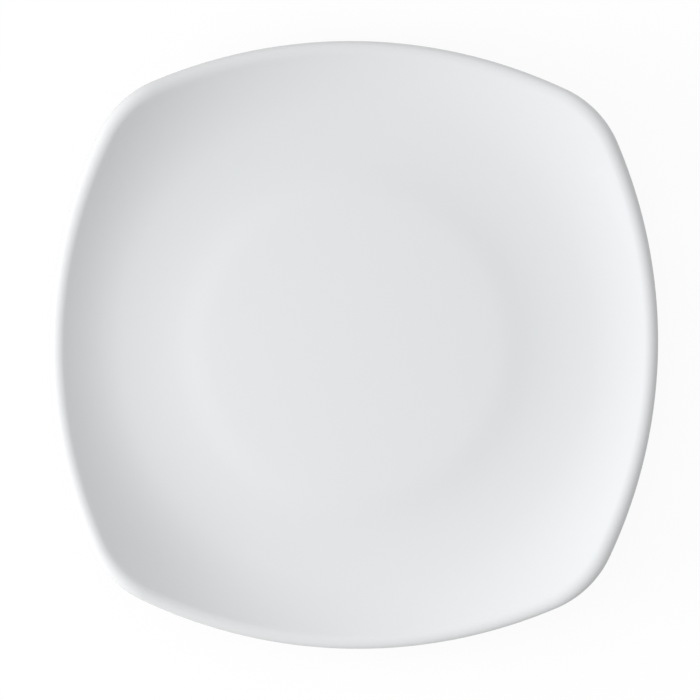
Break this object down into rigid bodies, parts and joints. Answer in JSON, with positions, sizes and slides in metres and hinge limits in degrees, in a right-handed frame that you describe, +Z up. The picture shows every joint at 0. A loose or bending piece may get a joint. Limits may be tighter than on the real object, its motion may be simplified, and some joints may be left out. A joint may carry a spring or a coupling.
{
  "type": "square dinner plate",
  "caption": "Square dinner plate with bowed sides, rounded corners that sweep up, a round flat well, a rounded lip and a foot ring, in white glazed porcelain.",
  "frame": {"origin": "centre of the ring that the foot stands on, which is also the bottom centre of the plate", "axes": "+Z up out of the dish; +X and +Y through the middles of two neighbouring sides"},
  "size_m": [0.27, 0.27, 0.0305],
  "materials": {
    "fired_body": "bare fired porcelain, smooth and matt",
    "white_glaze": "clear glossy glaze on white"
  },
  "bodies": {
    "root": {"porcelain_body": "fired_body", "outer_glaze": "white_glaze", "base_glaze": "white_glaze"}
  },
  "joints": []
}
